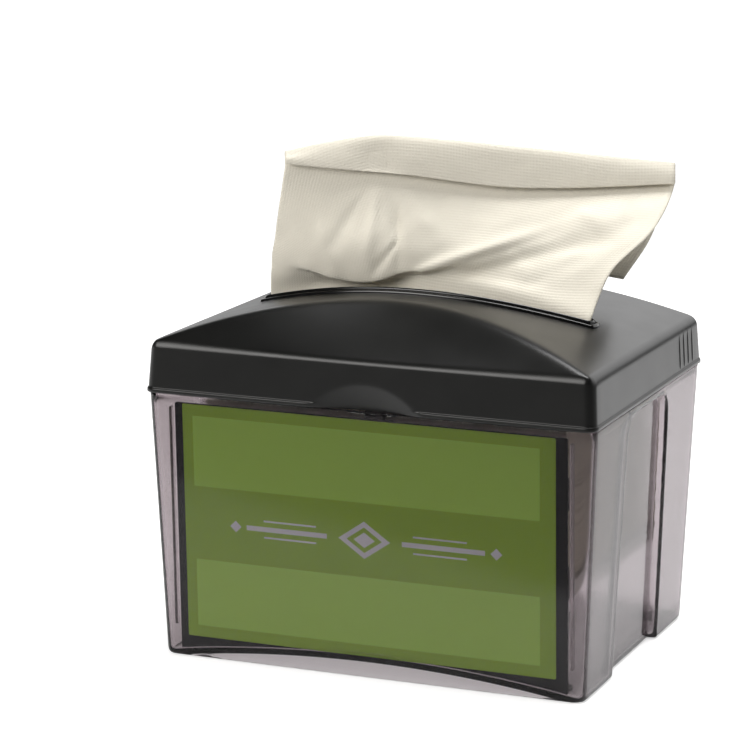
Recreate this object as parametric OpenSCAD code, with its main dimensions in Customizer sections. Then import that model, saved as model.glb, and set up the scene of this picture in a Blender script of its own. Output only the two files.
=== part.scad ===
// Tabletop napkin dispenser: clear tapered container, hinged arched lid with a
// lens-shaped slot, sprung platform under a stack of interleaved napkins.
// Millimetres. +Z up, front towards -Y, origin under the middle of the outline.

/* [Container] */
// Width of the container at its rim
rim_w = 200.8; // [198.4:0.2:201.2]
// Depth of the container at its rim
rim_d = 148.8; // [147.4:0.2:149.2]
// Width of the container at its foot
foot_w = 191; // [189:0.2:194]
// Depth of the container at its foot
foot_d = 139.7; // [138:0.1:142]
// Height of the container rim above the table
rim_z = 116.6; // [116:0.1:116.7]
// Wall thickness of the container
wall = 2.2; // [1.8:0.1:2.6]
// Height of the floor's underside above the table at the middle
vault_z = 7; // [6.5:0.5:7.5]
// Depth of the flute in each side wall
flute_depth = 3.5; // [2.5:0.1:3.6]

/* [Lid] */
// Width of the lid along its lower edge
lid_w = 202.4; // [202:0.1:203.4]
// Depth of the lid along its lower edge
lid_d = 150.4; // [150:0.1:151.4]
// Thickness of the lid
lid_t = 2.4; // [2:0.1:2.6]
// Height of the lid's arch at the front crest
crest_z = 158.1; // [156:0.1:160]
// Length of the slot
slot_l = 154; // [148:1:156]
// How far the lid swings open, shown closed at 0
lid_open = 0; // [0:1:100]

/* [Napkins] */
// Width of a folded napkin
napkin_w = 165; // [150:1:166]
// Depth of a folded napkin
napkin_d = 107; // [95:1:108]
// Height of the stack
stack_h = 80; // [60:1:80]

/* [Springs] */
// Wire thickness of the lifting springs
wire_d = 1.8; // [1.4:0.1:2]
// Turns of each lifting spring
spring_turns = 5; // [4:1:6]

/* [Hidden] */
$fn = 48;
y_off = -3;               // centre of the walls, so the hinge keeps the outline centred
base_z = 0.5;             // lower edge of the skirt; the feet reach the table
lid_z = 117;              // lower edge of the lid
hinge_y = 78; hinge_z = 114.6; knuckle_r = 3.2; pin_r = 1.5;
draft = atan((rim_d - foot_d) / 2 / rim_z);
side_draft = atan((rim_w - foot_w) / 2 / rim_z);
vault_r = 582;
band_z = 137.6;           // top edge of the lid's front band
slot_y = -2;              // line through the slot's two ends
plate_z = 128.6;          // underside of the guide plate
stack_top = 128.2;
boss_x = 62; boss_y = 38;
spring_x = 42;
latch_y = -61.2; latch_z = 124;
xs = [for (i = [-20 : 20]) i * 5.1];

// top arch of the lid, falling slightly to the back
function arch(x, y) = crest_z - 0.0629 * (y + 40) - (0.00202 - 0.0000055 * (y + 40)) * x * x;
// plan line of the front crest
function crest_y(x) = max(-72, -28 - sqrt(144 + pow(0.44 * x, 2)));
// front facet, rising from the band to the crest
function facet(x, y) = band_z + (y + 73.7) * max(0.4, (arch(x, crest_y(x)) - band_z) / (crest_y(x) + 73.7));

module rr(w, d, r) { offset(r) square([w - 2 * r, d - 2 * r], center = true); }
module slab(w, d, r, z, h = 0.01) { translate([0, 0, z]) linear_extrude(h) rr(w, d, r, $fn = 32); }

// drafted rounded box between two heights, following the container's walls, set in by t
function wall_w(z) = foot_w + (rim_w - foot_w) * z / rim_z;
function wall_d(z) = foot_d + (rim_d - foot_d) * z / rim_z;
module walls(t, z0, z1, r0, r1) {
  hull() {
    slab(wall_w(z0) - 2 * t, wall_d(z0) - 2 * t, r0, z0);
    slab(wall_w(z1) - 2 * t, wall_d(z1) - 2 * t, r1, z1);
  }
}
module flute(grow) {
  for (s = [0, 1]) mirror([s, 0, 0])
    translate([foot_w / 2 - flute_depth - grow, 0, 0]) rotate([0, side_draft, 0])
      rotate([90, 0, 90]) linear_extrude(30)
        polygon(concat([[-31 - grow, -20], [31 + grow, -20]],
          [for (a = [0 : 9 : 90]) [17 + (10 + grow) * cos(a), 103 + (10 + grow) * sin(a)]],
          [for (a = [90 : 9 : 180]) [-17 + (10 + grow) * cos(a), 103 + (10 + grow) * sin(a)]]));
}
module vault(r) { translate([0, 150, vault_z - vault_r]) rotate([90, 0, 0]) cylinder(r = r, h = 300, $fn = 360); }
module rim_ring(w, d, t, z0, z1) {
  translate([0, 0, z0]) linear_extrude(z1 - z0) difference() { rr(w, d, 5, $fn = 32); rr(w - 2 * t, d - 2 * t, 4, $fn = 32); }
}
module bar_x(x0, x1, r) { translate([x0, 0, 0]) rotate([0, 90, 0]) cylinder(r = r, h = x1 - x0); }

module body_shell() color([0.62, 0.58, 0.57, 0.55]) translate([0, y_off, 0]) {
  difference() {
    union() {
      difference() {
        hull() {
          slab(wall_w(base_z) - 2.4, wall_d(base_z) - 2.4, 5, base_z);
          slab(wall_w(2.2), wall_d(2.2), 6, 2.2);
          slab(rim_w, rim_d, 6, rim_z - 0.01);
        }
        flute(0);
        difference() {
          walls(wall, 0, rim_z + 6, 4, 4.2);
          flute(wall);
          vault(vault_r + wall);
        }
        intersection() {
          difference() { walls(wall, -1, 12, 4, 4); flute(wall); }
          vault(vault_r);
        }
      }
      // ledge and inner rim, open at the thumb scoop and the hinge line
      rim_ring(rim_w - 3.4, rim_d - 3.4, 2.6, rim_z - 2.6, rim_z);
      difference() {
        rim_ring(195.4, 143.2, 1.6, rim_z - 0.2, 120.5);
        translate([-34, -90, rim_z]) cube([68, 60, 20]);
      }
      // foot pads and spring bosses on the vault
      for (x = [-80, 80], y = [-56, 56]) translate([x, y, 2.2]) cylinder(r = 7, h = 2.6);
      difference() {
        for (s = [-1, 1]) translate([s * spring_x, 0, 3]) cylinder(r = 25, h = 9);
        vault(vault_r + 1);
      }
      // card rails
      for (s = [-1, 1]) translate([s * 90 - 0.6, -foot_d / 2 + 1, 0]) rotate([draft, 0, 0]) translate([0, 0, 14]) cube([1.2, 4, 98]);
      // hinge knuckles with their webs
      for (s = [-1, 1], p = [[40, 48], [62, 70]]) {
        x0 = s > 0 ? p[0] : -p[1];
        translate([x0, 0, 0]) {
          translate([0, hinge_y, hinge_z]) bar_x(0, 8, knuckle_r);
          translate([0, 73.4, hinge_z - knuckle_r]) cube([8, hinge_y - 73.4, 4.4]);
        }
      }
    }
    for (s = [-1, 1]) translate([0, hinge_y, hinge_z]) bar_x(s > 0 ? 39 : -71, s > 0 ? 71 : -39, pin_r + 0.02);
    for (s = [-1, 1]) translate([s * spring_x, 0, 8.6]) cylinder(r = 1.5, h = 6);
    for (x = [-80, 80], y = [-56, 56]) translate([x, y, -1]) cylinder(r = 5.8, h = 2.9);
  }
}

// plates that lean with the front wall; g is the gap behind the wall's inner face
module behind_front(g, t, z0, z1, w, r = 1) {
  translate([0, -foot_d / 2 + wall + g, 0]) rotate([draft, 0, 0]) translate([0, t, 0]) rotate([90, 0, 0])
    linear_extrude(t) translate([0, (z0 + z1) / 2]) rr(w, z1 - z0, r, $fn = 24);
}
module card_backing() color([0.11, 0.11, 0.13]) translate([0, y_off, 0]) difference() {
  behind_front(0.8, 1.4, 2.6, 113.3, 176, 0.8);
  vault(vault_r + wall + 0.6);
}
module front_card() color([0.27, 0.4, 0.16]) translate([-0.5, y_off, 0]) behind_front(0.3, 0.4, 9.5, 113, 167.5, 0.6);
module card_clips() color([0.11, 0.11, 0.13]) translate([0, y_off, 0])
  for (x = [-86.5, 86.5], z = [44, 82]) translate([x, -foot_d / 2 + wall + 2.3, 0]) rotate([draft, 0, 0])
    translate([-1.5, 0, z]) cube([3, 1.6, 14]);
module latch_strike() color([0.12, 0.12, 0.13]) translate([0, y_off, 0]) difference() {
  translate([-10, -69.4, 108]) cube([20, 4.2, 5]);
  translate([-11, -65.8, 107]) cube([22, 2, 2.2]);
}
module rubber_feet() color([0.15, 0.15, 0.15]) translate([0, y_off, 0])
  for (x = [-80, 80], y = [-56, 56]) translate([x, y, 0]) difference() {
    cylinder(r = 5.6, h = 1.85);
    translate([0, 0, -1]) cylinder(r = 2, h = 1.6);
  }
module spring_seats() color([0.85, 0.85, 0.84]) translate([0, y_off, 0])
  for (s = [-1, 1]) translate([s * spring_x, 0, 12]) difference() {
    union() { cylinder(r = 24.6, h = 2); cylinder(r = 9, h = 7); }
    translate([0, 0, 2]) cylinder(r = 5, h = 6);
    translate([0, 0, -1]) cylinder(r = 1.6, h = 6);
  }
module seat_screws() color([0.72, 0.72, 0.74]) translate([0, y_off, 0])
  for (s = [-1, 1]) translate([s * spring_x, 0, 0]) difference() {
    union() { translate([0, 0, 14]) cylinder(r = 3, h = 2); translate([0, 0, 9]) cylinder(r = 1.4, h = 5.5); }
    translate([-0.4, -2.2, 15.2]) cube([0.8, 4.4, 2]);
    translate([-2.2, -0.4, 15.2]) cube([4.4, 0.8, 2]);
  }
module hinge_pins() color([0.75, 0.75, 0.77]) translate([0, y_off + hinge_y, hinge_z])
  for (s = [-1, 1]) bar_x(s > 0 ? 39.6 : -70.4, s > 0 ? 70.4 : -39.6, pin_r);

// coil of wire along Z: radius r0 at the bottom to r1 at the top
module coil(r0, r1, z0, z1, turns, d, per = 20, sides = 6) {
  n = turns * per;
  dead = 1.0;
  pts = [for (i = [0 : n]) let (t = i / per, u = min(1, max(0, (t - dead * 0.75) / (turns - dead * 1.5))),
      r = r0 + (r1 - r0) * u, z = z0 + d / 2 + (z1 - z0 - d) * u, a = 360 * t)
    for (k = [0 : sides - 1]) let (b = 360 * k / sides)
      [(r + d / 2 * cos(b)) * cos(a), (r + d / 2 * cos(b)) * sin(a), z + d / 2 * sin(b)]];
  faces = concat(
    [[for (k = [0 : sides - 1]) k]],
    [for (i = [0 : n - 1]) for (k = [0 : sides - 1]) let (k2 = (k + 1) % sides)
      for (f = [[i * sides + k, (i + 1) * sides + k, (i + 1) * sides + k2], [i * sides + k, (i + 1) * sides + k2, i * sides + k2]]) f],
    [[for (k = [sides - 1 : -1 : 0]) n * sides + k]]);
  polyhedron(pts, faces);
}
module lift_spring_left() color([0.7, 0.7, 0.72]) translate([-spring_x, y_off, 0]) coil(22, 12.4, 14.1, 44.8, spring_turns, wire_d);
module lift_spring_right() color([0.7, 0.7, 0.72]) translate([spring_x, y_off, 0]) coil(22, 12.4, 14.1, 44.8, spring_turns, wire_d);

// solid under the arch and the front facet, lowered by t
module under_arch(t, z0) {
  n = len(xs);
  pts = concat([for (x = xs) [x, -90, facet(x, -90) - t * 1.2]], [for (x = xs) [x, crest_y(x), arch(x, crest_y(x)) - t]],
    [for (x = xs) [x, 90, arch(x, 90) - t]], [for (x = xs) [x, -90, z0]], [for (x = xs) [x, 90, z0]]);
  A = 0; B = n; C = 2 * n; D = 3 * n; E = 4 * n;
  faces = concat(
    [for (i = [0 : n - 2]) for (f = [[A + i, B + i, B + i + 1], [A + i, B + i + 1, A + i + 1],
      [B + i, C + i, C + i + 1], [B + i, C + i + 1, B + i + 1],
      [C + i, E + i, E + i + 1], [C + i, E + i + 1, C + i + 1],
      [E + i, D + i, D + i + 1], [E + i, D + i + 1, E + i + 1],
      [D + i, A + i, A + i + 1], [D + i, A + i + 1, D + i + 1]]) f],
    [[A, D, E, C, B]], [[A + n - 1, B + n - 1, C + n - 1, E + n - 1, D + n - 1]]);
  polyhedron(pts, faces);
}
module lid_block(t) {
  hull() {
    slab(lid_w - 2 * t, lid_d - 2 * t, max(1.5, 5 - t), t > 0 ? lid_z - 1 : lid_z);
    slab(199.8 - 2 * t, 147.3 - 2 * t, max(1.5, 5 - t), 138);
    slab(197.4 - 2 * t, 144.4 - 2 * t, max(1.5, 5 - t), 165);
  }
}
// long lens with blunt ends; g widens it all round
module lens(g, sf = 18, sb = 14) {
  h = slot_l / 2 + 6;
  rf = (h * h + sf * sf) / (2 * sf); rb = (h * h + sb * sb) / (2 * sb);
  translate([0, slot_y]) intersection() {
    translate([0, rf - sf]) circle(r = rf + g, $fn = 180);
    translate([0, sb - rb]) circle(r = rb + g, $fn = 180);
    square([slot_l - 3.6 + 2 * g, 80], center = true);
  }
}
module lid_cover() color([0.09, 0.09, 0.08]) translate([0, y_off, 0]) {
  difference() {
    union() {
      difference() {
        intersection() { lid_block(0); under_arch(0, 110); }
        intersection() { lid_block(lid_t); under_arch(lid_t, 100); }
      }
      // wall behind the thumb scoop
      intersection() {
        translate([0, -170.8, 104]) sphere(r = 102.6, $fn = 96);
        translate([-30, -73.8, lid_z]) cube([60, 8, 17]);
      }
      // ears for the latch pin
      for (x = [-12, 9]) translate([x, -73.2, 119.5]) cube([3, 15, 8.6]);
      // bosses for the guide plate
      for (x = [-boss_x, boss_x], y = [-boss_y, boss_y]) translate([x, y, plate_z + 3]) cylinder(r = 4, h = arch(boss_x, y) - 1 - plate_z - 3);
      // finger ribs near the back of both sides
      for (s = [-1, 1], y = [43, 49, 55, 61]) translate([s * 99.8 - 0.9, y - 0.8, 119.6]) cube([1.8, 1.6, 14]);
      // hinge arms and knuckles
      for (s = [-1, 1]) {
        x0 = s > 0 ? 48.3 : -61.7;
        translate([x0, hinge_y, hinge_z]) bar_x(0, 13.4, knuckle_r);
        translate([x0, 73.8, hinge_z + 2.6]) cube([13.4, hinge_y + 1.4 - 73.8, 6]);
      }
    }
    translate([0, -170.8, 104]) sphere(r = 100, $fn = 96);
    translate([0, 0, 140]) linear_extrude(30) lens(0);
    for (x = [-boss_x, boss_x], y = [-boss_y, boss_y]) translate([x, y, plate_z]) cylinder(r = 1.45, h = 10.5);
    translate([0, latch_y, latch_z]) bar_x(-14, 14, 1.52);
    for (s = [-1, 1]) translate([0, hinge_y, hinge_z]) bar_x(s > 0 ? 47 : -63, s > 0 ? 63 : -47, pin_r + 0.06);
    // clearance round the container's knuckles
    for (s = [-1, 1], p = [[39.6, 48.3], [61.7, 70.4]]) translate([0, hinge_y, hinge_z]) bar_x(s > 0 ? p[0] : -p[1], s > 0 ? p[1] : -p[0], knuckle_r + 0.35);
  }
}
module slot_bezel() color([0.04, 0.04, 0.04]) translate([0, y_off, 0]) {
  intersection() {
    difference() {
      translate([0, 0, 131.7]) linear_extrude(40) lens(-0.1);
      translate([0, 0, 130]) linear_extrude(50) lens(-1.1);
    }
    under_arch(-2.4, 100);
  }
  intersection() {
    difference() {
      translate([0, 0, 135]) linear_extrude(40) lens(1.8);
      translate([0, 0, 130]) linear_extrude(50) lens(-0.1);
      under_arch(-0.05, 100);
    }
    under_arch(-1.5, 100);
  }
}
module slot_guide_plate() color([0.1, 0.1, 0.1]) translate([0, y_off, 0]) difference() {
  translate([0, 0, plate_z]) linear_extrude(3) rr(176, 112, 6, $fn = 32);
  translate([0, 0, plate_z - 1]) linear_extrude(6) lens(-1.4);
  for (x = [-boss_x, boss_x], y = [-boss_y, boss_y]) translate([x, y, plate_z]) {
    translate([0, 0, -1]) cylinder(r = 3.1, h = 3);
    cylinder(r = 1.6, h = 5);
  }
}
module guide_plate_screws() color([0.72, 0.72, 0.74]) translate([0, y_off, 0])
  for (x = [-boss_x, boss_x], y = [-boss_y, boss_y]) translate([x, y, plate_z]) difference() {
    union() { translate([0, 0, 0.2]) cylinder(r = 2.9, h = 1.7); translate([0, 0, 1.5]) cylinder(r = 1.35, h = 8); }
    translate([-0.4, -2, -0.5]) cube([0.8, 4, 1.4]);
    translate([-2, -0.4, -0.5]) cube([4, 0.8, 1.4]);
  }
module latch_pin() color([0.75, 0.75, 0.77]) translate([0, y_off + latch_y, latch_z]) bar_x(-12.6, 12.6, 1.5);
module latch_spring() color([0.7, 0.7, 0.72]) translate([4.6, y_off + latch_y, latch_z]) rotate([0, 90, 0]) coil(2.3, 2.3, 0, 4, 4, 0.6, 16);
module latch_hook() color([0.12, 0.12, 0.13]) translate([0, y_off, 0]) difference() {
  union() {
    translate([0, latch_y, latch_z]) bar_x(-4.2, 4.2, 3);
    translate([-4.2, latch_y - 1.6, 104.6]) cube([8.4, 3.2, latch_z - 104.6]);
    translate([-8.5, latch_y - 1.6, 104.6]) cube([17, 3.2, 6]);
    translate([-8.5, latch_y - 3.4, 104.6]) cube([17, 2.2, 2.6]);
  }
  translate([0, latch_y, latch_z]) bar_x(-5, 5, 1.56);
}
module pusher_plate() color([0.86, 0.86, 0.85]) translate([0, y_off, 0]) {
  translate([0, 0, 45]) linear_extrude(2.6) rr(168, 109, 6, $fn = 32);
  translate([0, 0, 41]) linear_extrude(4.1) difference() { rr(168, 109, 6, $fn = 32); rr(164.4, 105.4, 4.4, $fn = 32); }
  for (s = [-1, 1]) translate([s * spring_x, 0, 41]) difference() { cylinder(r = 19, h = 4.1); translate([0, 0, -1]) cylinder(r = 17.2, h = 6); }
}
module napkin_stack() color([0.95, 0.93, 0.88]) translate([0, y_off, stack_top - stack_h]) linear_extrude(stack_h) rr(napkin_w, napkin_d, 1.2, $fn = 24);
module napkin_sheet() color([0.95, 0.93, 0.88]) translate([0, y_off, 0]) {
  translate([0, 0, 129.4]) linear_extrude(30) intersection() {
    translate([0, slot_y + 2000 - 1.8]) circle(r = 2000, $fn = 360);
    translate([0, slot_y - 2000 + 1.8]) circle(r = 2000, $fn = 360);
    square([146, 60], center = true);
  }
  // upper part turns to face the hand
  hull() {
    translate([0, slot_y, 159]) cube([142, 2.4, 1], center = true);
    translate([-57, -13, 205]) sphere(r = 1.5, $fn = 12);
    translate([-20, 1.8, 218]) sphere(r = 1.5, $fn = 12);
    translate([95, 47, 205]) sphere(r = 1.5, $fn = 12);
    translate([90, 40, 176]) sphere(r = 1.5, $fn = 12);
    translate([-66, -11, 176]) sphere(r = 1.5, $fn = 12);
  }
}

module swing() {
  translate([0, y_off + hinge_y, hinge_z]) rotate([-lid_open, 0, 0]) translate([0, -y_off - hinge_y, -hinge_z]) children();
}

body_shell();
card_backing();
front_card();
card_clips();
latch_strike();
rubber_feet();
spring_seats();
seat_screws();
hinge_pins();
lift_spring_left();
lift_spring_right();
swing() lid_cover();
swing() slot_bezel();
swing() slot_guide_plate();
swing() guide_plate_screws();
swing() latch_pin();
swing() latch_spring();
swing() latch_hook();
pusher_plate();
napkin_stack();
swing() napkin_sheet();
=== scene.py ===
"""Napkin dispenser: the finished looks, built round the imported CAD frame. Lengths in the helpers are millimetres."""
import math

import bpy
import numpy as np
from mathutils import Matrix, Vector, noise


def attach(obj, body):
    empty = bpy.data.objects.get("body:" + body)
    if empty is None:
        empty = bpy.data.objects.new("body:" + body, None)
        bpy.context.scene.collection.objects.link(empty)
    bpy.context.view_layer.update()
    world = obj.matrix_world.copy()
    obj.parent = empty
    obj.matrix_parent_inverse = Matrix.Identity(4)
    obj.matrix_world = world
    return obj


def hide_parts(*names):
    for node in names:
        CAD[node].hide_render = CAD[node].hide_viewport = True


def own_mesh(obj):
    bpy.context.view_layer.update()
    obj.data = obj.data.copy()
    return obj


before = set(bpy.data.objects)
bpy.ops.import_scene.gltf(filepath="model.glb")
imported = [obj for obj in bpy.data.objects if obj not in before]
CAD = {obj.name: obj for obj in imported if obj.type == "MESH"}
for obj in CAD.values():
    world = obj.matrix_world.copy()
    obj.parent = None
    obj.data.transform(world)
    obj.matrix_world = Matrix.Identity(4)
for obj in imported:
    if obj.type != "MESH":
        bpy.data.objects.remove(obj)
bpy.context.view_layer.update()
rng = np.random.default_rng(11)
Y0 = -3.0  # the walls' centre lies 3 mm in front of the outline's centre
scene = bpy.context.scene

# ------------------------------------------------------------------ camera
AZ, EL = math.radians(22.224), math.radians(12.514)
BACK = Vector((math.sin(AZ) * math.cos(EL), -math.cos(AZ) * math.cos(EL), math.sin(EL)))
cam_data = bpy.data.cameras.new("hero_camera")
cam_data.lens, cam_data.sensor_width = 159.777, 36.0
cam_data.clip_start, cam_data.clip_end = 0.05, 60.0
cam = bpy.data.objects.new("hero_camera", cam_data)
scene.collection.objects.link(cam)
cam.location = (0.511911, -1.318099, 0.430608)
cam.rotation_mode = "QUATERNION"
cam.rotation_quaternion = (-BACK).to_track_quat("-Z", "Y")
scene.camera = cam


# ------------------------------------------------------------------ node helpers
def put(nt, socket, value):
    if isinstance(value, bpy.types.NodeSocket):
        nt.links.new(value, socket)
    else:
        socket.default_value = value


def node(nt, kind, props=None, **ins):
    n = nt.nodes.new(kind)
    for k, v in (props or {}).items():
        setattr(n, k, v)
    for k, v in ins.items():
        put(nt, n.inputs[k.replace("_", " ")], v)
    return n


def calc(nt, op, a, b=0.0, c=None, clamp=False):
    n = nt.nodes.new("ShaderNodeMath")
    n.operation, n.use_clamp = op, clamp
    for i, v in enumerate((a, b) if c is None else (a, b, c)):
        put(nt, n.inputs[i], v)
    return n.outputs[0]


def mix(nt, fac, a, b):
    n = nt.nodes.new("ShaderNodeMix")
    n.data_type = "RGBA"
    put(nt, n.inputs[0], fac)
    put(nt, n.inputs[6], a)
    put(nt, n.inputs[7], b)
    return n.outputs[2]


def rgb(r, g, b):
    """sRGB 0..255 to the linear colour a shader takes"""
    def f(c):
        c /= 255.0
        return c / 12.92 if c <= 0.04045 else ((c + 0.055) / 1.055) ** 2.4
    return (f(r), f(g), f(b), 1.0)


def scaled(c, k):
    return tuple(min(1.0, x * k) for x in c[:3]) + (1.0,)


def material(name, colour, rough, vary=0.08, rvary=0.03, grain=2200.0, bump=0.25, depth=0.00004, patch=70.0, **fixed):
    """Principled surface with mottled colour, uneven roughness and a fine moulded or spun grain."""
    m = bpy.data.materials.new(name)
    m.use_nodes = True
    nt = m.node_tree
    b = nt.nodes["Principled BSDF"]
    for k, v in fixed.items():
        b.inputs[k.replace("_", " ")].default_value = v
    at = node(nt, "ShaderNodeTexCoord").outputs["Object"]
    big = node(nt, "ShaderNodeTexNoise", Vector=at, Scale=patch, Detail=3.0).outputs[0]
    fine = node(nt, "ShaderNodeTexNoise", Vector=at, Scale=grain, Detail=2.0).outputs[0]
    both = calc(nt, "MULTIPLY_ADD", fine, 0.35, calc(nt, "MULTIPLY", big, 0.65))
    base = mix(nt, both, scaled(colour, 1 - vary), scaled(colour, 1 + vary))
    nt.links.new(base, b.inputs["Base Color"])
    nt.links.new(calc(nt, "MULTIPLY_ADD", big, 2 * rvary, rough - rvary, clamp=True), b.inputs["Roughness"])
    bp = node(nt, "ShaderNodeBump", Strength=bump, Distance=depth, Height=fine)
    nt.links.new(bp.outputs[0], b.inputs["Normal"])
    return m


def parts_of(m):
    nt = m.node_tree
    return nt, nt.nodes["Principled BSDF"]


# ------------------------------------------------------------------ materials
M_LID = material("black_satin", rgb(15, 15, 14), 0.31, vary=0.12, rvary=0.035, grain=2600, bump=0.30, depth=0.00005, Specular_IOR_Level=0.40)
M_BEZEL = material("black_gloss", rgb(8, 8, 8), 0.17, rvary=0.04, grain=900, bump=0.05, depth=0.00002)
M_BLACK = material("black_moulding", rgb(24, 24, 26), 0.45, vary=0.12, grain=1800, bump=0.3)
M_BACKING = material("backing_panel", rgb(16, 15, 20), 0.6, vary=0.10, grain=1500, bump=0.2, Specular_IOR_Level=0.1)
M_LIGHT = material("light_moulding", rgb(222, 220, 214), 0.42, vary=0.03, grain=1500, bump=0.2)
M_RUBBER = material("black_rubber", rgb(30, 30, 30), 0.78, vary=0.15, grain=1200, bump=0.5, depth=0.00008)
M_STEEL = material("drawn_steel", rgb(176, 176, 180), 0.26, vary=0.06, rvary=0.08, grain=3000, bump=0.15, Metallic=1.0)


def smoke(name):
    """clear grey-pink plastic that darkens with the length of plastic the light goes through; frosted where 'frost' is 1"""
    m = material(name, (0.985, 0.98, 0.98, 1), 0.06, vary=0.005, rvary=0.015, grain=60, bump=0.02, depth=0.00003,
                 Transmission_Weight=1.0, IOR=1.30)
    nt, b = parts_of(m)
    plain = b.inputs["Roughness"].links[0].from_socket
    frost = nt.nodes.new("ShaderNodeAttribute")
    frost.attribute_name = "frost"
    nt.links.new(calc(nt, "MULTIPLY_ADD", frost.outputs["Fac"], 0.20, plain), b.inputs["Roughness"])
    v = nt.nodes.new("ShaderNodeVolumeAbsorption")
    v.inputs["Color"].default_value = (0.16, 0.06, 0.10, 1.0)
    v.inputs["Density"].default_value = 265.0
    nt.links.new(v.outputs[0], nt.nodes["Material Output"].inputs["Volume"])
    return m


M_SMOKE = smoke("smoke_plastic")


def card_print():
    m = material("printed_card", rgb(120, 150, 74), 0.7, vary=0.05, grain=2400, bump=0.12, depth=0.00003, Specular_IOR_Level=0.1)
    nt, b = parts_of(m)
    at = node(nt, "ShaderNodeTexCoord").outputs["Object"]
    sep = node(nt, "ShaderNodeSeparateXYZ", Vector=at)
    x, z = calc(nt, "MULTIPLY", sep.outputs[0], 1000.0), calc(nt, "MULTIPLY", sep.outputs[2], 1000.0)

    def inside(v, lo, hi):
        return calc(nt, "MULTIPLY", calc(nt, "GREATER_THAN", v, lo), calc(nt, "LESS_THAN", v, hi))

    def either(*ms):
        out = ms[0]
        for q in ms[1:]:
            out = calc(nt, "MAXIMUM", out, q)
        return out

    span = inside(x, -79.6, 76.4)
    panels = either(calc(nt, "MULTIPLY", span, inside(z, 77.1, 108.0)), calc(nt, "MULTIPLY", span, inside(z, 14.6, 44.5)))
    # plain ornament in the middle band: nested diamonds between two rules
    xc, zc = calc(nt, "SUBTRACT", x, -1.6), calc(nt, "SUBTRACT", z, 60.8)
    ax, az = calc(nt, "ABSOLUTE", xc), calc(nt, "ABSOLUTE", zc)
    dia = calc(nt, "ADD", calc(nt, "MULTIPLY", ax, 0.7), az)
    rules = calc(nt, "MULTIPLY", inside(ax, 17.0, 54.0), inside(az, -1.0, 1.1))
    thin = calc(nt, "MULTIPLY", inside(ax, 22.0, 46.0), inside(az, 3.2, 4.0))
    dots = calc(nt, "LESS_THAN", calc(nt, "ADD", calc(nt, "ABSOLUTE", calc(nt, "SUBTRACT", ax, 59.0)), az), 2.6)
    mark = either(inside(dia, -1.0, 3.4), inside(dia, 5.6, 8.2), rules, thin, dots)
    base = b.inputs["Base Color"].links[0].from_socket
    paper = node(nt, "ShaderNodeTexNoise", Vector=at, Scale=1500.0, Detail=3.0).outputs[0]
    tone = calc(nt, "MULTIPLY_ADD", paper, 0.12, 0.94)
    light = mix(nt, paper, scaled(CARD_LIGHT, 0.96), scaled(CARD_LIGHT, 1.04))
    dark = mix(nt, paper, scaled(CARD_DARK, 0.95), scaled(CARD_DARK, 1.05))
    grey = mix(nt, tone, scaled(CARD_GREY, 0.9), CARD_GREY)
    nt.links.new(mix(nt, mark, mix(nt, panels, dark, light), grey), b.inputs["Base Color"])
    del base
    return m


# painted light: the card's green and grey inks are set brighter than the print's own colours to make up for the light
# lost in the smoke plastic in front of it
CARD_DARK, CARD_LIGHT, CARD_GREY = rgb(170, 212, 80), rgb(196, 245, 112), rgb(243, 250, 252)
M_CARD = card_print()


def napkin_paper(name, emboss):
    m = material(name, rgb(233, 227, 212), 0.85, vary=0.02, rvary=0.03, grain=1400, bump=0.2, depth=0.00006, Sheen_Weight=0.15)
    nt, b = parts_of(m)
    if emboss:
        uv = node(nt, "ShaderNodeUVMap", {"uv_map": "sheet"}).outputs[0]
        s = node(nt, "ShaderNodeSeparateXYZ", Vector=uv)
        k = 2 * math.pi / 1.9
        u, v = calc(nt, "MULTIPLY", s.outputs[0], 1000.0), calc(nt, "MULTIPLY", s.outputs[1], 1000.0)
        p, q = calc(nt, "MULTIPLY", calc(nt, "ADD", u, v), k * 0.7071), calc(nt, "MULTIPLY", calc(nt, "SUBTRACT", u, v), k * 0.7071)
        dots = calc(nt, "MULTIPLY", calc(nt, "SINE", p), calc(nt, "SINE", q))
        at = node(nt, "ShaderNodeTexCoord").outputs["Object"]
        fibre = node(nt, "ShaderNodeTexNoise", Vector=at, Scale=900.0, Detail=4.0).outputs[0]
        h = calc(nt, "MULTIPLY_ADD", dots, 0.5, fibre)
        bp = node(nt, "ShaderNodeBump", Strength=0.55, Distance=0.00020, Height=h)
        nt.links.new(bp.outputs[0], b.inputs["Normal"])
        base = b.inputs["Base Color"].links[0].from_socket
        # painted shade: the paper colour is darkened by up to 0.4% where the emboss dots are low, as if shade lay in
        # the dimples
        shade = calc(nt, "MULTIPLY_ADD", dots, 0.02, 0.98)
        emboss_painted_shade = mix(nt, shade, scaled(rgb(233, 227, 212), 0.9), base)
        nt.links.new(emboss_painted_shade, b.inputs["Base Color"])
    return m


M_NAPKIN = napkin_paper("napkin_paper", True)
M_STACK = napkin_paper("stacked_paper", False)


# ------------------------------------------------------------------ mesh helpers
def piece(name, verts, faces, mats, body, stands_for=(), index=None, sharp=38.0, closed=True):
    me = bpy.data.meshes.new(name)
    v = np.asarray(verts, float) * 0.001
    v[:, 1] += Y0 * 0.001
    me.from_pydata(v.tolist(), [], [tuple(int(i) for i in f) for f in faces])
    me.validate()
    for m in mats if isinstance(mats, (list, tuple)) else [mats]:
        me.materials.append(m)
    if index is not None:
        me.polygons.foreach_set("material_index", np.asarray(index, np.int32))
    if closed:
        import bmesh
        bm = bmesh.new()
        bm.from_mesh(me)
        bmesh.ops.recalc_face_normals(bm, faces=bm.faces)
        bm.to_mesh(me)
        bm.free()
    me.shade_smooth()
    if sharp:
        me.set_sharp_from_angle(angle=math.radians(sharp))
    o = bpy.data.objects.new(name, me)
    scene.collection.objects.link(o)
    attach(o, body)
    if stands_for:
        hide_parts(*stands_for)
    return o


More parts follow.
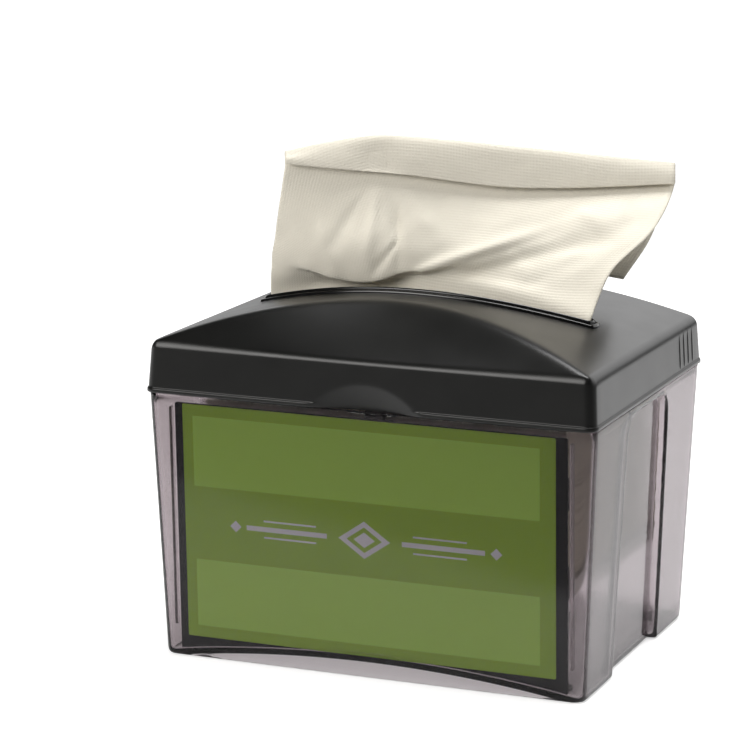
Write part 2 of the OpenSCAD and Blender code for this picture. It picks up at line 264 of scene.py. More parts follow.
def ring_faces(m, n, wrap=False, start=0):
    f = []
    for i in range(m if wrap else m - 1):
        a, b = start + i * n, start + ((i + 1) % m) * n
        f += [(a + j, a + (j + 1) % n, b + (j + 1) % n, b + j) for j in range(n)]
    return f


def perim(a, b, r, tx, ty, nc):
    """rounded rectangle in a fixed order: front, right, back, left; with the inward normal of each point"""
    ex, ey = a - r, b - r
    q = [math.pi / 2 * (i + 1) / (nc + 1) for i in range(nc)]
    P, N = [], []
    for t in tx:
        P.append((t * ex, -b)); N.append((0, 1))
    for s in q:
        P.append((ex + r * math.sin(s), -ey - r * math.cos(s))); N.append((-math.sin(s), math.cos(s)))
    for t in ty:
        P.append((a, t * ey)); N.append((-1, 0))
    for s in q:
        P.append((ex + r * math.cos(s), ey + r * math.sin(s))); N.append((-math.cos(s), -math.sin(s)))
    for t in tx:
        P.append((-t * ex, b)); N.append((0, -1))
    for s in q:
        P.append((-ex - r * math.sin(s), ey + r * math.cos(s))); N.append((math.sin(s), -math.cos(s)))
    for t in ty:
        P.append((-a, -t * ey)); N.append((1, 0))
    for s in q:
        P.append((-ex - r * math.cos(s), -ey - r * math.sin(s))); N.append((math.cos(s), math.sin(s)))
    return np.array(P, float), np.array(N, float)


def smooth01(t):
    t = np.clip(t, 0, 1)
    return t * t * (3 - 2 * t)


class Bits:
    """collects small closed solids into one mesh"""

    def __init__(self):
        self.v, self.f = [], []

    def add(self, verts, faces):
        k = len(self.v)
        self.v += [tuple(p) for p in verts]
        self.f += [tuple(i + k for i in f) for f in faces]

    def lathe(self, origin, axis, profile, n=40):
        """closed profile of (radius, height) pairs turned about axis at origin"""
        w = Vector(axis).normalized()
        u = w.orthogonal().normalized()
        t = w.cross(u)
        P = []
        for r, h in profile:
            for k in range(n):
                c = 2 * math.pi * k / n
                P.append(Vector(origin) + w * h + (u * math.cos(c) + t * math.sin(c)) * r)
        self.add(P, ring_faces(len(profile), n, wrap=True))

    def block(self, lo, hi, r=0.4):
        """box with rounded edges and corners"""
        c = [(lo[i] + hi[i]) / 2 for i in range(3)]
        h = [(hi[i] - lo[i]) / 2 for i in range(3)]
        r = min([r] + [x * 0.99 for x in h])
        rows, n = [], 3
        P, _ = perim(1, 1, 0.5, [-1, 1], [-1, 1], n)
        prof = [(math.sin(s), math.cos(s)) for s in (0.0, 0.4, 0.8, 1.2, math.pi / 2)]
        loops = []
        for sgn, pr in ((-1, prof), (1, prof[::-1])):
            for k, (inr, up) in enumerate(pr):
                a, b, rr = h[0] - r + r * inr, h[1] - r + r * inr, max(0.02, r * inr)
                L, _ = perim(a, b, rr, [-1, 1], [-1, 1], n)
                z = sgn * (h[2] - r + r * up)
                loops.append([(c[0] + x, c[1] + y, c[2] + z) for x, y in L])
        N = len(loops[0])
        V = [p for L in loops for p in L]
        F = ring_faces(len(loops), N)
        F.append(tuple(range(N - 1, -1, -1)))
        F.append(tuple((len(loops) - 1) * N + j for j in range(N)))
        self.add(V, F)
        del rows, P


# ------------------------------------------------------------------ container
RIM_W, RIM_D, FOOT_W, FOOT_D, RIM_Z, WALL, VAULT_Z, VAULT_R = 200.8, 148.8, 191.0, 139.7, 116.6, 2.2, 7.0, 582.0


def vault(x, grow=0.0):
    return VAULT_Z - VAULT_R + np.sqrt((VAULT_R + grow) ** 2 - np.asarray(x) ** 2)


def flute_in(y, z, grow=0.0):
    """how far the side wall steps in at (y, z)"""
    ay = np.abs(y)
    side = ay - (27.0 + (103.0 - z) * 4.0 / 123.0)
    top = np.where(ay <= 17.0, z - 113.0, np.hypot(np.maximum(ay - 17.0, 0), z - 103.0) - 10.0)
    d = np.where(z <= 103.0, np.maximum(side, z - 113.0), top) - grow
    return 3.5 * smooth01(0.5 - d / 1.5)


def body_mesh():
    ys = [0, 5, 10, 15, 19, 22, 24] + [25 + 0.45 * i for i in range(22)] + [36, 40, 46, 52, 58, 63, 67]
    ty = sorted({round(s * y / 67.0, 6) for y in ys for s in (-1, 1)})
    tx = [i / 16.0 for i in range(-16, 17)]
    nc = 9
    foot, N = perim(FOOT_W / 2, FOOT_D / 2, 5.4, tx, ty, nc)
    rim, _ = perim(RIM_W / 2, RIM_D / 2, 6.0, tx, ty, nc)
    n = len(foot)

    def wall_at(z, t, grow=0.0):
        z = np.broadcast_to(np.asarray(z, float), (n,)).copy()
        P = foot + (rim - foot) * (z / RIM_Z)[:, None] + N * t
        side = (np.abs(N[:, 0]) > 0.99)
        d = np.where(side, flute_in(P[:, 1], z, grow), 0.0)
        P = P.copy()
        P[:, 0] -= np.sign(P[:, 0]) * d
        return np.column_stack([P, z])

    loops, kinds = [], []  # kind 0 outer, 1 inner

    def add(L, kind):
        loops.append(L); kinds.append(kind)

    # underside, from the middle out
    skirt = wall_at(0.5, 2.2, 1.6)
    low = np.maximum(vault(skirt[:, 0]), 0.62)
    for s in (0.03, 0.12, 0.24, 0.36, 0.48, 0.6, 0.72, 0.82, 0.9, 0.96):
        L = skirt.copy(); L[:, :2] *= s
        L[:, 2] = np.maximum(vault(L[:, 0]), 0.62)
        add(L, 1)
    for t, f in ((0.0, 1.0), (0.0, 0.5)):
        L = skirt.copy(); L[:, 2] = 0.5 + (low - 0.5) * f
        add(L, 1)
    corner = np.clip(np.minimum(np.abs(N[:, 0]), np.abs(N[:, 1])) * 1.6, 0, 1)
    for t, z in ((2.0, 0.5), (1.15, 0.5), (0.7, 0.62), (0.3, 0.95), (0.08, 1.4), (0.0, 2.2)):
        up = 1.0 + corner * np.where(N[:, 1] < 0, 1.7, 0.5)
        add(wall_at(0.5 + (z - 0.5) * up, t, 1.6 * t / 2.2), 0)
    zs = [6, 10, 18, 26, 34, 42, 50, 58, 66, 74, 82, 90, 95, 98] + [100 + 0.5 * i for i in range(29)] + [115.4, 116.1]
    for z in zs:
        add(wall_at(z, 0.0), 0)
    add(wall_at(116.45, 0.12), 0)
    add(wall_at(116.6, 0.45), 0)
    add(wall_at(116.6, 2.9), 1)
    add(wall_at(116.3, 3.1), 1)
    add(wall_at(115.0, 3.1), 1)
    add(wall_at(114.4, 2.9), 1)
    inner_zs = [112.4] + [112 - 0.5 * i for i in range(24)] + [98, 95, 90, 82, 74, 66, 58, 50, 42, 34, 26, 18, 11]
    floor_edge = wall_at(4.0, 2.2, 1.9)
    top = vault(floor_edge[:, 0], WALL)
    for z in inner_zs:
        add(wall_at(z, 2.2, 1.9), 1)
    for f, t in ((2.0, 2.2), (1.0, 2.45), (0.4, 2.9), (0.0, 4.0)):
        L = wall_at(top + f, t, 1.9)
        add(L, 1)
    edge = loops[-1]
    for s in (0.96, 0.9, 0.82, 0.72, 0.6, 0.48, 0.36, 0.24, 0.12, 0.03):
        L = edge.copy(); L[:, :2] *= s
        L[:, 2] = vault(L[:, 0], WALL)
        add(L, 1)
    V = np.vstack(loops)
    F = ring_faces(len(loops), n)
    idx = [1 if (kinds[i] == 1 and kinds[i + 1] == 1) else 0 for i in range(len(loops) - 1) for _ in range(n)]
    k = len(V)
    V = np.vstack([V, [[0, 0, VAULT_Z], [0, 0, VAULT_Z + WALL]]])
    last = (len(loops) - 1) * n
    F += [(j, k, (j + 1) % n) for j in range(n)] + [(last + j, last + (j + 1) % n, k + 1) for j in range(n)]
    idx += [1] * (2 * n)
    return V, F, idx


V, F, IDX = body_mesh()
body = piece("container_shell", V, F, M_SMOKE, "base", ["body_shell"], sharp=50)
frost = body.data.attributes.new("frost", "FLOAT", "FACE")
frost.data.foreach_set("value", np.asarray(IDX, np.float32))

# small mouldings on the container: hinge knuckles with webs, card rails, the rim inside the lid
hk = Bits()
for s in (-1, 1):
    for p0, p1 in ((40, 48), (62, 70)):
        x0 = p0 if s > 0 else -p1
        hk.lathe((x0, 78.0, 114.6), (1, 0, 0), [(1.55, 0), (2.9, 0), (3.2, 0.3), (3.2, 7.7), (2.9, 8.0), (1.55, 8.0)], 36)
        hk.block((x0 + 0.1, 74.0, 111.8), (x0 + 7.9, 77.0, 115.4), 0.6)
piece("container_hinge_knuckles", hk.v, hk.f, M_SMOKE, "base")

DR = math.atan((RIM_D - FOOT_D) / 2 / RIM_Z)
rails = Bits()
for s in (-1, 1):
    rails.block((s * 90 - 0.6, 0.05, 14), (s * 90 + 0.6, 2.6, 111), 0.35)
rv = [(x, -FOOT_D / 2 + WALL + y * math.cos(DR) - z * math.sin(DR), y * math.sin(DR) + z * math.cos(DR)) for x, y, z in rails.v]
piece("container_card_rails", rv, rails.f, M_SMOKE, "base")


def rim_mesh():
    """upstanding rim inside the lid, open at the thumb scoop"""
    tx = [i / 10.0 for i in range(-10, 11)]
    ty = [i / 8.0 for i in range(-8, 9)]
    O, N = perim(97.7, 71.6, 5, tx, ty, 6)
    order = [i for i in range(len(O)) if not (abs(O[i, 0]) < 34 and O[i, 1] < -71)]
    cut = next(k for k in range(1, len(order)) if order[k] - order[k - 1] > 1)
    order = order[cut:] + order[:cut]
    O, N = O[order], N[order]
    prof = [(0.0, 116.65), (0.0, 120.1), (0.4, 120.5), (1.2, 120.5), (1.6, 120.1), (1.6, 116.65)]
    V = [(x + nx * t, y + ny * t, z) for (x, y), (nx, ny) in zip(O, N) for t, z in prof]
    m, k = len(O), len(prof)
    F = [(i * k + j, (i + 1) * k + j, (i + 1) * k + (j + 1) % k, i * k + (j + 1) % k) for i in range(m - 1) for j in range(k)]
    F += [tuple(range(k)), tuple((m - 1) * k + j for j in range(k - 1, -1, -1))]
    return V, F


V, F = rim_mesh()
piece("container_inner_rim", V, F, M_SMOKE, "base")


# ------------------------------------------------------------------ lid
def arch(x, y):
    return 158.1 - 0.0629 * (y + 40) - (0.00202 - 0.0000055 * (y + 40)) * x * x


def crest_y(x):
    return np.maximum(-72.0, -28.0 - np.sqrt(144.0 + (0.44 * x) ** 2))


def facet(x, y):
    c = crest_y(x)
    return 137.6 + (y + 73.7) * np.maximum(0.4, (arch(x, c) - 137.6) / (c + 73.7))


def lid_top(x, y, k=1.5):
    a, f = arch(x, y), facet(x, y)
    return 0.5 * (a + f - np.sqrt((a - f) ** 2 + k * k)) + 0.02


def lens(g, tx, ty, nc):
    """outline of the slot widened by g, with points in the same order as perim()"""
    h, sf, sb, sy = 83.0, 18.0, 14.0, -2.0
    rf, rb = (h * h + sf * sf) / (2 * sf), (h * h + sb * sb) / (2 * sb)
    xe = 75.2 + g
    front = lambda x: sy + rf - sf - np.sqrt((rf + g) ** 2 - x * x)
    rear = lambda x: sy + sb - rb + np.sqrt((rb + g) ** 2 - x * x)
    P = [(t * xe, front(t * xe)) for t in tx]
    m = len(ty) + 2 * nc
    end = [(i + 1) / (m + 1) for i in range(m)]
    y0, y1 = front(xe), rear(xe)
    P += [(xe + 0.9 * math.sin(math.pi * e), y0 + (y1 - y0) * e) for e in end]
    P += [(-t * xe, rear(-t * xe)) for t in tx]
    P += [(-xe - 0.9 * math.sin(math.pi * e), y1 + (y0 - y1) * e) for e in end]
    return np.array(P, float)


def lid_mesh():
    xs = [0.0] + [1.0 * i for i in range(1, 35)] + [36, 38.5, 41, 44, 47, 50, 53, 56, 59, 62, 65, 68, 71, 74, 77, 80, 82.5, 85, 87, 89, 91, 93, 95, 96.2]
    tx = sorted({round(s * x / 96.2, 6) for x in xs for s in (-1, 1)})
    ty = [i / 14.0 for i in range(-14, 15)]
    nc = 9
    lo, N = perim(101.2, 75.2, 5.0, tx, ty, nc)
    hi, _ = perim(99.9, 73.65, 5.0, tx, ty, nc)
    n = len(lo)
    front = smooth01((N[:, 1] - 0.3) / 0.6)
    R = 3.2 - 1.5 * front

    def at(z, t):
        z = np.broadcast_to(np.asarray(z, float), (n,))
        t = np.broadcast_to(np.asarray(t, float), (n,))
        return lo + (hi - lo) * ((z - 117.0) / 21.0)[:, None] + N * t[:, None]

    def scoop(P, z, grow=0.0):
        q = (100.0 + grow) ** 2 - P[:, 0] ** 2 - (z - 104.0) ** 2
        ysph = -170.8 + np.sqrt(np.maximum(q, 0.0))
        d = ysph - P[:, 1]
        k = 0.25
        push = 0.5 * (d + np.sqrt(d * d + k * k)) - 0.5 * k * (d < -2)
        ok = (N[:, 1] > 0.9) & (np.abs(P[:, 0]) < 40)
        P = P.copy()
        P[:, 1] += np.where(ok & (d > -1.2), push, 0.0)
        return P

    def layer(z, t):
        P = scoop(at(z, t), np.broadcast_to(z, (n,)))
        return np.column_stack([P, np.broadcast_to(z, (n,))])

    loops = []
    # bead round the lower edge
    for z, t in ((117.0, 0.75), (117.0, 0.45), (117.12, 0.15), (117.4, 0.0), (118.5, 0.0), (118.85, 0.12), (119.0, 0.42), (119.25, 0.5)):
        loops.append(layer(z, t))
    mid = at(137.0, 0.5)
    top = lid_top(mid[:, 0], mid[:, 1])
    ztop = top - R
    for f in [i / 34.0 for i in range(1, 35)]:
        z = 119.25 + (ztop - 119.25) * f
        loops.append(np.column_stack([scoop(at(z, 0.5), z), z]))
    for s in [math.pi / 2 * i / 7 for i in range(1, 8)]:
        t = R * (1 - math.cos(s))
        P = at(np.minimum(ztop + R * math.sin(s), 152.0), 0.5 + t)
        H = lid_top(P[:, 0], P[:, 1])
        loops.append(np.column_stack([P, H - R * (1 - math.sin(s))]))
    start = loops[-1][:, :2]
    L = lens(0.0, tx, ty, nc)
    rows = 60
    for i in range(1, rows + 1):
        s = i / rows
        P = start * (1 - s) + L * s
        loops.append(np.column_stack([P, lid_top(P[:, 0], P[:, 1])]))
    # inner skin
    T = 2.4
    inner = at(137.0, 0.5 + T)
    for i in range(0, 22):
        s = 1 - i / 21.0
        P = inner * (1 - s) + L * s
        loops.append(np.column_stack([P, lid_top(P[:, 0], P[:, 1]) - T - 0.5 * (1 - s)]))
    ztop_in = lid_top(inner[:, 0], inner[:, 1]) - T - 0.5
    for f in (0.25, 0.5, 0.75):
        z = ztop_in + (123.0 - ztop_in) * f
        loops.append(np.column_stack([at(z, 0.5 + T), z]))
    for z in (123.0, 121.5, 120.0, 118.5, 117.0):
        P = scoop(at(z, T), np.broadcast_to(z, (n,)), 2.0)
        loops.append(np.column_stack([P, np.broadcast_to(z, (n,))]))
    return np.vstack(loops), ring_faces(len(loops), n, wrap=True), (tx, ty, nc)


V, F, LP = lid_mesh()
piece("lid_shell", V, F, M_LID, "lid", ["lid_cover"], sharp=44)

bits = Bits()
for s in (-1, 1):
    for y in (43, 49, 55, 61):
        # grip ribs, rounded in section and at both ends
        prof = [(0.02, 0.0), (0.5, 0.15), (0.8, 0.6), (0.95, 1.6), (1.0, 4.0), (0.9, 11.5), (0.6, 14.0), (0.3, 15.2), (0.02, 15.6)]
        w = [(r, h) for r, h in prof]
        k, n = len(w), 20
        P = []
        for r, h in w:
            z = 119.6 + h
            xw = 101.2 - 1.3 * (z - 117.0) / 21.0 - 0.5
            for j in range(n):
                c = 2 * math.pi * j / n
                P.append((s * (xw - 0.15 + 0.5 * r * math.cos(c)), y + 1.05 * r * math.sin(c), z))
        F = ring_faces(k, n) + [tuple(range(n - 1, -1, -1)), tuple((k - 1) * n + j for j in range(n))]
        bits.add(P, F)
piece("lid_grip_ribs", bits.v, bits.f, M_LID, "lid")

arms = Bits()
for s in (-1, 1):
    x0 = 48.3 if s > 0 else -61.7
    arms.lathe((x0, 78.0, 114.6), (1, 0, 0), [(1.58, 0), (2.9, 0), (3.2, 0.3), (3.2, 13.1), (2.9, 13.4), (1.58, 13.4)], 36)
    arms.block((x0 + 0.1, 73.6, 117.2), (x0 + 13.3, 79.2, 123.2), 0.9)
for x in (-12, 9):
    arms.block((x, -72.4, 119.6), (x + 3, -58.4, 128.0), 0.5)
for x in (-62, 62):
    for y in (-38, 38):
        arms.lathe((x, y, 131.7), (0, 0, 1), [(1.45, 0), (4.0, 0), (4.0, float(arch(x, y)) - 2.8 - 131.7), (1.45, float(arch(x, y)) - 2.8 - 131.7)], 28)
piece("lid_hinge_arms", arms.v, arms.f, M_LID, "lid")


def bezel_mesh():
    tx, ty, nc = LP
    prof = [(-1.1, None), (-1.1, 1.75), (-0.98, 2.15), (-0.6, 2.4), (-0.22, 2.15), (-0.08, 1.75), (0.0, 1.05), (0.25, 0.85), (0.6, 1.1),
            (1.1, 1.25), (1.5, 1.1), (1.75, 0.75), (1.8, 0.03), (0.9, 0.03), (-0.1, 0.03), (-0.1, None)]
    loops = []
    for g, h in prof:
        P = lens(g, tx, ty, nc)
        z = np.full(len(P), 131.75) if h is None else arch(P[:, 0], P[:, 1]) + h
        loops.append(np.column_stack([P, z]))
    return np.vstack(loops), ring_faces(len(loops), len(loops[0]), wrap=True)


V, F = bezel_mesh()
piece("slot_trim", V, F, M_BEZEL, "lid", ["slot_bezel"], sharp=44)


# ------------------------------------------------------------------ springs
def coil(cx, cy, r0, r1, z0, z1, turns, d, dead=1.0, per=56, sides=12, along=(0, 0, 1)):
    n = turns * per
    P = []
    for i in range(n + 1):
        t = i / per
        u = min(1.0, max(0.0, (t - dead * 0.75) / (turns - dead * 1.5)))
        r, z, a = r0 + (r1 - r0) * u, z0 + d / 2 + (z1 - z0 - d) * u, 2 * math.pi * t
        end = min(1.0, 0.2 + 8.0 * min(i, n - i) / n) if min(i, n - i) < 3 else 1.0
        for k in range(sides):
            b = 2 * math.pi * k / sides
            rr = r + d / 2 * math.cos(b) * end
            p = (rr * math.cos(a), rr * math.sin(a), z + d / 2 * math.sin(b) * end)
            if along == (1, 0, 0):
                p = (p[2], p[1], -p[0])
            P.append((cx[0] + p[0], cx[1] + p[1], cx[2] + p[2]) if isinstance(cx, tuple) else (cx + p[0], cy + p[1], p[2]))
    F = [(i * sides + k, (i + 1) * sides + k, (i + 1) * sides + (k + 1) % sides, i * sides + (k + 1) % sides) for i in range(n) for k in range(sides)]
    F += [tuple(range(sides)), tuple(n * sides + k for k in range(sides - 1, -1, -1))]
    return P, F


for side, x in (("left", -42.0), ("right", 42.0)):
    P, F = coil(x, 0.0, 22, 12.4, 14.1, 44.8, 5, 1.8)
    o = piece("spring_" + side, P, F, M_STEEL, "base", ["lift_spring_" + side])
    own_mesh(o)


# ------------------------------------------------------------------ stacked napkins
def stack_mesh():
    tx, ty = [i / 6.0 for i in range(-6, 7)], [i / 5.0 for i in range(-5, 6)]
    V, F, n = [], [], None
    layers, z = 42, 48.35
    pitch = (128.1 - z) / layers
    for i in range(layers):
        dx, dy = rng.normal(0, 0.35, 2)
        dw = rng.uniform(-0.3, 0.3)
        wav = rng.uniform(0, 6.28, 2)
        start = len(V)
        prof = [(0.55, 0.06), (0.12, 0.2), (0.0, 0.5), (0.12, 0.8), (0.55, 0.94)]
        for t, h in prof:
            P, _ = perim(82.3 - t + dw, 53.3 - t, 1.6, tx, ty, 3)
            n = len(P)
            zz = z + pitch * h + 0.08 * np.sin(P[:, 0] * 0.07 + wav[0]) * np.sin(P[:, 1] * 0.09 + wav[1])
            V += [(x + dx, y + dy, q) for (x, y), q in zip(P, zz)]
        F += ring_faces(len(prof), n, start=start)
        F += [tuple(start + j for j in range(n - 1, -1, -1)), tuple(start + (len(prof) - 1) * n + j for j in range(n))]
        z += pitch
    return V, F


V, F = stack_mesh()
piece("napkin_pile", V, F, M_STACK, "platform", ["napkin_stack"], sharp=60)


# ------------------------------------------------------------------ the napkin being drawn
def catmull(A, per):
    """rows of A interpolated smoothly, per steps between two rows"""
    A = np.asarray(A, float)
    n = len(A)
    ext = np.concatenate([[2 * A[0] - A[1]], A, [2 * A[-1] - A[-2]]])
    out = []
    for i in range(n - 1):
        p0, p1, p2, p3 = ext[i], ext[i + 1], ext[i + 2], ext[i + 3]
        for k in range(per):
            t = k / per
            out.append(0.5 * (2 * p1 + (p2 - p0) * t + (2 * p0 - 5 * p1 + 4 * p2 - p3) * t * t + (3 * p1 - p0 - 3 * p2 + p3) * t ** 3))
    out.append(A[-1])
    return np.array(out)


def sheet_grid():
    u = np.array([0, 0.115, 0.233, 0.33, 0.423, 0.56, 0.705, 0.85, 1.0])
    tz = np.array([214.3, 218.6, 221.2, 220.6, 219.2, 216.9, 214.4, 211.8, 209.2])
    fz = np.array([209.5, 207.6, 205.8, 204.4, 202.2, 199.5, 199.0, 199.7, 200.9])
    tx_, ty_ = -60.5 + 155.4 * u, -16.5 + 63.5 * u

    def on(s, z, x=None):
        x0 = tx_ if x is None else x
        y0 = -16.5 + 63.5 * (x0 + 60.5) / 155.4
        return np.column_stack([x0 + 0.378 * s, y0 - 0.926 * s, np.broadcast_to(z, u.shape)])

    nx = -74.0 + 148.5 * u
    nz = 155.7 - 0.00181 * nx ** 2 + 3.2
    neck = np.column_stack([nx, np.full(9, -2.0), nz])

    def lean(f, z, off, wide=0.0):
        x = nx * (1 - f) + tx_ * f
        y = -2.0 * (1 - f) + ty_ * f + np.array(off, float)
        x = x + wide * np.array([0, 0, 0, 0, 0, 0.1, 0.3, 0.65, 1.0])
        return np.column_stack([x, y, np.array(z, float)])

    rows = [
        on(-6.0, np.array([167, 166, 165, 163.5, 162.5, 162, 160.5, 160.5, 157.0]), -46 + 121.5 * u),
        on(-5.5, np.array([180, 180, 180, 179, 178, 177.5, 177, 176, 174]), -52 + 137.5 * u),
        on(-4.0, np.array([197, 198, 198.5, 198, 197, 196, 194, 192.5, 190]), -57 + 147.5 * u),
        on(-1.6, tz - 4.0),
        on(0.0, tz),
        on(1.9, tz - 2.0),
        on(3.0, (tz + fz) / 2),
        on(3.5, fz + 1.6),
        on(3.4, fz),
        on(2.4, fz + 2.0),
        on(1.7, fz + (tz - fz) * 0.55),
        on(0.9, fz + (tz - fz) * 0.60),
        on(0.4, fz - 1.0),
        lean(0.75, [196, 192, 190, 188.5, 188, 188, 189, 190, 191], [-0.5, -4, -6, -6, -5, -3.5, -2, -1, 0], 5),
        lean(0.50, [181, 176.5, 174, 173.5, 175, 177, 178, 179, 180.5], [-1.5, -8, -11, -11, -9, -6, -3, -1, 0], 6),
        lean(0.25, [168, 163.6, 159.0, 159.8, 164.5, 169.0, 169.2, 169, 169.5], [-2, -8.6, -10.6, -10.2, -8.2, -5, -1.5, 0, 0], 1),
        lean(0.12, [158, 160.0, 159.9, 160.9, 163.2, 164.2, 162.5, 160.5, 159], [-1.5, -5, -6.0, -5.6, -4.2, -2, 0, 0, 0], -0.5),
        neck,
        np.column_stack([-73.0 + 146 * u, np.full(9, -2.0) + 0.7 * np.sin(u * 19), np.full(9, 143.0)]),
        np.column_stack([-72.5 + 145 * u, np.full(9, -2.0), np.full(9, 131.2)]),
    ]
    G = catmull(np.array(rows), 7)
    G = np.transpose(catmull(np.transpose(G, (1, 0, 2)), 16), (1, 0, 2))
    m, k = G.shape[:2]
    U = np.tile(np.linspace(0, 1, k), (m, 1))
    # real u along the unevenly spaced columns
    uc = np.interp(np.linspace(0, 8, k), np.arange(9), u)
    U = np.tile(uc, (m, 1))
    seg = np.linalg.norm(np.diff(G, axis=0), axis=2)
    S = np.concatenate([np.zeros((1, k)), np.cumsum(seg, axis=0)])
    # normals
    du, dv = np.gradient(G, axis=1), np.gradient(G, axis=0)
    nrm = np.cross(du, dv)
    nrm /= np.maximum(np.linalg.norm(nrm, axis=2, keepdims=True), 1e-9)
    r = np.linspace(0, len(rows) - 1, m)[:, None]
    main = smooth01((r - 12.2) / 1.2) * (1 - smooth01((r - 15.8) / 1.4))
    rear = 1 - smooth01((r - 1.5) / 1.5)
    flap = np.exp(-((r - 6.0) / 1.6) ** 2)
    i12 = int(12 * 7)
    D = S - S[i12][None, :]
    X = U * 165.0
    d = np.zeros((m, k))
    pins = [  # x0, d0, x1, d1, height, width
        (42, 0, 60, 30, 1.2, 2.6), (44, 0, 78, 27, -1.0, 3.6), (40, 2, 48, 38, -1.1, 3.0), (46, 3, 100, 16, 0.8, 3.6), (38, 4, 30, 34, 0.9, 3.4),
        (60, 30, 52, 46, 1.0, 2.6), (70, 46, 152, 12, -1.9, 6.5), (74, 54, 150, 30, 1.3, 5.0), (96, 40, 158, 6, 0.9, 5.0), (128, 12, 160, 34, -0.9, 4.5),
        (20, 22, 36, 48, -0.9, 4.0), (52, 12, 66, 44, 0.7, 2.4), (146, 4, 157, 24, 0.8, 2.6), (112, 34, 130, 52, -0.6, 4.0)]
    for x0, d0, x1, d1, h, w in pins:
        a, b = np.array([x0, d0], float), np.array([x1, d1], float)
        L = np.linalg.norm(b - a)
        e = (b - a) / L
        along = ((X - a[0]) * e[0] + (D - a[1]) * e[1]) / L
        across = (X - a[0]) * e[1] - (D - a[1]) * e[0]
        spread = w * (0.35 + 0.85 * np.clip(along, 0, 1))
        d += h * main * np.exp(-(across / spread) ** 2) * smooth01(along / 0.12) * (1 - smooth01((along - 0.8) / 0.35))
    for i in range(m):
        for j in range(k):
            p = Vector((X[i, j] * 0.035, D[i, j] * 0.05, 3.1))
            q = Vector((X[i, j] * 0.10, D[i, j] * 0.13, 7.7))
            a = noise.noise(p) * 1.5 + noise.noise(q) * 0.45
            d[i, j] += a * (0.9 * main[i, 0] + 0.8 * rear[i, 0] + 0.32 * flap[i, 0])
    G = G + nrm * d[:, :, None]
    # the pinch in the flap
    px = np.exp(-((X - 40) / 9) ** 2) * np.exp(-((r - 6.6) / 1.5) ** 2)
    G[:, :, 0] -= 0.5 * px
    G[:, :, 1] += 1.4 * px
    return G, U, S


G, U, S = sheet_grid()
m_, k_ = G.shape[:2]
F = [(i * k_ + j, i * k_ + j + 1, (i + 1) * k_ + j + 1, (i + 1) * k_ + j) for i in range(m_ - 1) for j in range(k_ - 1)]
napkin = piece("drawn_napkin", G.reshape(-1, 3), F, M_NAPKIN, "napkin", ["napkin_sheet"], sharp=0, closed=False)
uvl = napkin.data.uv_layers.new(name="sheet")
uu, ss = (U * 0.165).ravel(), (S * 0.001).ravel()
li = np.zeros(len(napkin.data.loops), np.int32)
napkin.data.loops.foreach_get("vertex_index", li)
uvl.data.foreach_set("uv", np.column_stack([uu[li], ss[li]]).astype(np.float32).ravel())
sol = napkin.modifiers.new("ply", "SOLIDIFY")
sol.thickness, sol.offset = 0.00032, 0.0


# ------------------------------------------------------------------ CAD pieces that stay
def dress(name, m):
    o = CAD[name]
    if not o.material_slots:
        o.data.materials.append(m)
    for s in o.material_slots:
        s.material = m


for name, m, slot in (
    ("card_backing", M_BACKING, "black_plastic"), ("front_card", M_CARD, "printed_card"), ("card_clips", M_BLACK, "black_plastic"),
    ("latch_strike", M_BLACK, "black_plastic"), ("rubber_feet", M_RUBBER, "rubber"), ("spring_seats", M_LIGHT, "light_plastic"),
    ("seat_screws", M_STEEL, "steel"), ("hinge_pins", M_STEEL, "steel"), ("slot_guide_plate", M_BLACK, "black_plastic"),
    ("guide_plate_screws", M_STEEL, "steel"), ("latch_pin", M_STEEL, "steel"), ("latch_spring", M_STEEL, "steel"),
    ("latch_hook", M_BLACK, "black_plastic"), ("pusher_plate", M_LIGHT, "light_plastic")):
    dress(name, m)

# ------------------------------------------------------------------ floor, lights
me = bpy.data.meshes.new("floor")
me.from_pydata([(-5, -5, 0), (5, -5, 0), (5, 5, 0), (-5, 5, 0)], [], [(0, 1, 2, 3)])
floor = bpy.data.objects.new("floor", me)
scene.collection.objects.link(floor)
# painted light and shade on the floor: it glows white (emission 0.6 to 0.96 in a patch round and behind the dispenser,
# 0.12 elsewhere), and its grey drops from 0.87 in that patch to 0.40 outside it
fm = material("pale_floor_painted_glow", (0.92, 0.92, 0.915, 1), 0.75, vary=0.0, grain=40, bump=0.0, Specular_IOR_Level=0.05)
nt, b = parts_of(fm)
at = node(nt, "ShaderNodeSeparateXYZ", Vector=node(nt, "ShaderNodeTexCoord").outputs["Object"])
ahead = calc(nt, "MULTIPLY_ADD", at.outputs[0], 0.378, calc(nt, "MULTIPLY", at.outputs[1], -0.926))
lit = node(nt, "ShaderNodeMapRange", {"interpolation_type": "SMOOTHSTEP"}, Value=ahead)
for i, v in ((1, 0.185), (2, 0.215), (3, 1.0), (4, 0.0)):
    lit.inputs[i].default_value = v
b.inputs["Emission Color"].default_value = (1, 1, 1, 1)
beside = calc(nt, "MULTIPLY_ADD", at.outputs[1], -0.9, at.outputs[0])
wing = node(nt, "ShaderNodeMapRange", {"interpolation_type": "SMOOTHSTEP"}, Value=beside)
for i, v in ((1, 0.24), (2, 0.42), (3, 1.0), (4, 0.0)):
    wing.inputs[i].default_value = v
bright = calc(nt, "MULTIPLY", lit.outputs[0], wing.outputs[0])
away = node(nt, "ShaderNodeMapRange", {"interpolation_type": "SMOOTHSTEP"}, Value=at.outputs[1])
for i, v in ((1, 0.3), (2, 2.2), (3, 0.60), (4, 0.96)):
    away.inputs[i].default_value = v
nt.links.new(calc(nt, "MAXIMUM", calc(nt, "MULTIPLY", bright, away.outputs[0]), 0.12), b.inputs["Emission Strength"])
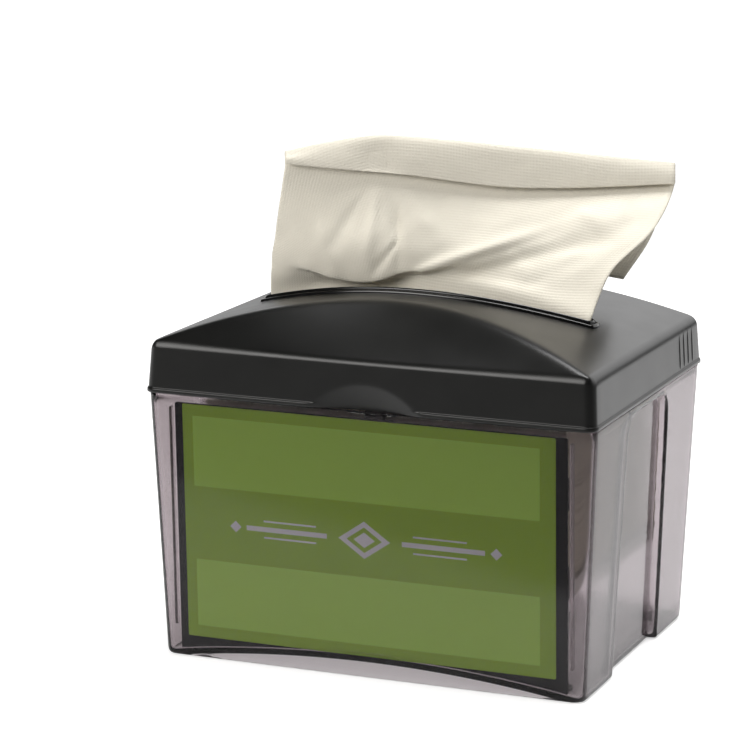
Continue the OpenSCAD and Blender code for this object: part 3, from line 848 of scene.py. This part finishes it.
near = calc(nt, "MULTIPLY_ADD", bright, 0.47, 0.40)
cc = nt.nodes.new("ShaderNodeCombineColor")
for i in range(3):
    nt.links.new(near, cc.inputs[i])
nt.links.new(cc.outputs[0], b.inputs["Base Color"])
me.materials.append(fm)


def softbox(name, at, to, size, power, colour=(1, 1, 1), spread=180):
    d = bpy.data.lights.new(name, "AREA")
    d.shape, d.size, d.size_y, d.energy, d.color = "RECTANGLE", size[0], size[1], power, colour
    d.spread = math.radians(spread)
    o = bpy.data.objects.new(name, d)
    o.location = at
    o.rotation_mode = "QUATERNION"
    o.rotation_quaternion = (Vector(to) - Vector(at)).to_track_quat("-Z", "Y")
    scene.collection.objects.link(o)
    return o


softbox("overhead", (0.16, 0.10, 1.1), (0.02, 0, 0.12), (0.55, 0.6), 10.5)
softbox("right", (1.7, 0.35, 0.55), (0, 0, 0.08), (1.0, 0.9), 1.5)
softbox("front_key", (-0.72, -1.45, 0.95), (0, 0, 0.08), (1.3, 0.9), 4.9, (1.0, 0.985, 0.96), 75)

w = bpy.data.worlds.new("studio")
w.use_nodes = True
scene.world = w
nt = w.node_tree
bg = nt.nodes["Background"]
sep = node(nt, "ShaderNodeSeparateXYZ", Vector=node(nt, "ShaderNodeTexCoord").outputs["Generated"])


def ramp(v, lo, hi, a, b):
    n = node(nt, "ShaderNodeMapRange", {"interpolation_type": "SMOOTHSTEP"}, Value=v)
    for i, x in ((1, lo), (2, hi), (3, a), (4, b)):
        n.inputs[i].default_value = x
    return n.outputs[0]


level = calc(nt, "MULTIPLY", ramp(sep.outputs[1], 0.30, 0.88, 0.05, 1.0), ramp(sep.outputs[2], 0.45, 0.85, 1.0, 0.1))
level = calc(nt, "MULTIPLY", level, ramp(sep.outputs[2], 0.04, 0.27, 0.08, 1.7))
cc = nt.nodes.new("ShaderNodeCombineColor")
for i in range(3):
    nt.links.new(level, cc.inputs[i])
nt.links.new(cc.outputs[0], bg.inputs["Color"])
bg.inputs["Strength"].default_value = 1.0
scene.view_settings.view_transform = "Standard"
